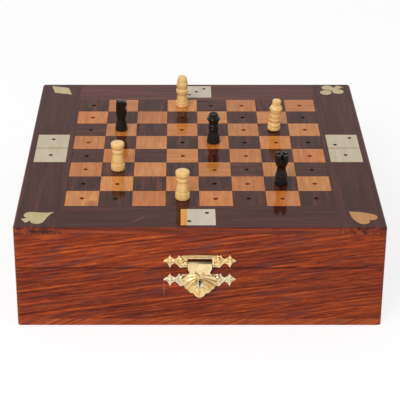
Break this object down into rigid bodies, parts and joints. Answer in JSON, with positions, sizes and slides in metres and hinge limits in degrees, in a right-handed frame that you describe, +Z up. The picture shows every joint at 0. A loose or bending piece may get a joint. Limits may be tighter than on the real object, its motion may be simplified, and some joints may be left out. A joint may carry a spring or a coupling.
{
  "type": "chess set",
  "caption": "Square wooden chess box with a hinged board for its lid, a brass hasp and pegged chess men, with troughs inside for men not in play.",
  "frame": {"origin": "middle of the box's underside, where it meets the table", "axes": "+X to the player's right, +Y to the back where the hinges are, +Z up"},
  "size_m": [0.203, 0.2077, 0.082],
  "materials": {
    "sheesham": "gloss lacquer",
    "rosewood": "gloss lacquer",
    "light_wood": "gloss lacquer",
    "dark_wood": "gloss lacquer",
    "plain_wood": "planed",
    "felt": "felt",
    "bone": "polished",
    "brass": "stamped, lacquered",
    "boxwood": "turned, polished",
    "ebonised_wood": "turned, polished"
  },
  "bodies": {
    "base": {"bottom_panel": "sheesham", "base_front_wall": "sheesham", "base_right_wall": "sheesham", "base_back_wall": "sheesham", "base_left_wall": "sheesham", "floor_lining": "felt", "left_divider": "plain_wood", "right_divider": "plain_wood", "base_hinge_leaves": "brass", "hinge_pins": "brass", "base_hinge_screws": "brass", "catch_plate": "brass", "catch_plate_nails": "brass"},
    "lid": {"lid_front_wall": "sheesham", "lid_right_wall": "sheesham", "lid_back_wall": "sheesham", "lid_left_wall": "sheesham", "lid_panel": "plain_wood", "border_left": "rosewood", "border_right": "rosewood", "border_front": "rosewood", "border_back": "rosewood", "light_squares": "light_wood", "dark_squares": "dark_wood", "domino_left": "bone", "domino_right": "bone", "die_front": "bone", "die_back": "bone", "spade_inlay": "bone", "heart_inlay": "bone", "club_inlay": "bone", "diamond_inlay": "bone", "lid_hinge_leaves": "brass", "lid_hinge_screws": "brass", "hasp_plate": "brass", "hasp_pin": "brass", "hasp_plate_nails": "brass"},
    "hasp": {"hasp": "brass", "hasp_knob": "brass"},
    "white_bishop_d8": {"white_bishop_d8": "boxwood"},
    "black_knight_b6": {"black_knight_b6": "ebonised_wood"},
    "white_king_g6": {"white_king_g6": "boxwood"},
    "black_queen_e5": {"black_queen_e5": "ebonised_wood"},
    "white_pawn_b3": {"white_pawn_b3": "boxwood"},
    "black_rook_g2": {"black_rook_g2": "ebonised_wood"},
    "white_pawn_d1": {"white_pawn_d1": "boxwood"},
    "white_reserve": {"stored_white_bishop": "boxwood", "stored_white_knights": "boxwood", "stored_white_pawns": "boxwood", "stored_white_queen": "boxwood", "stored_white_rooks": "boxwood"},
    "black_reserve": {"stored_black_bishops": "ebonised_wood", "stored_black_king": "ebonised_wood", "stored_black_knight": "ebonised_wood", "stored_black_pawns": "ebonised_wood", "stored_black_rook": "ebonised_wood"}
  },
  "joints": [
    {"name": "lid_hinge", "type": "hinge", "parent": "base", "child": "lid", "pos_m": [0, 0.0985, 0.0366], "axis": [-1, 0, 0], "range_deg": [0, 100]},
    {"name": "hasp_swing", "type": "hinge", "parent": "lid", "child": "hasp", "pos_m": [0, -0.1028, 0.0402], "axis": [-1, 0, 0], "range_deg": [0, 150]},
    {"name": "lift_white_bishop_d8", "type": "slide", "parent": "lid", "child": "white_bishop_d8", "axis": [0, 0, 1], "range_m": [0, 0.03]},
    {"name": "lift_black_knight_b6", "type": "slide", "parent": "lid", "child": "black_knight_b6", "axis": [0, 0, 1], "range_m": [0, 0.03]},
    {"name": "lift_white_king_g6", "type": "slide", "parent": "lid", "child": "white_king_g6", "axis": [0, 0, 1], "range_m": [0, 0.03]},
    {"name": "lift_black_queen_e5", "type": "slide", "parent": "lid", "child": "black_queen_e5", "axis": [0, 0, 1], "range_m": [0, 0.03]},
    {"name": "lift_white_pawn_b3", "type": "slide", "parent": "lid", "child": "white_pawn_b3", "axis": [0, 0, 1], "range_m": [0, 0.03]},
    {"name": "lift_black_rook_g2", "type": "slide", "parent": "lid", "child": "black_rook_g2", "axis": [0, 0, 1], "range_m": [0, 0.03]},
    {"name": "lift_white_pawn_d1", "type": "slide", "parent": "lid", "child": "white_pawn_d1", "axis": [0, 0, 1], "range_m": [0, 0.03]},
    {"name": "lift_white_reserve", "type": "slide", "parent": "base", "child": "white_reserve", "axis": [0, 0, 1], "range_m": [0, 0.034]},
    {"name": "lift_black_reserve", "type": "slide", "parent": "base", "child": "black_reserve", "axis": [0, 0, 1], "range_m": [0, 0.034]}
  ]
}
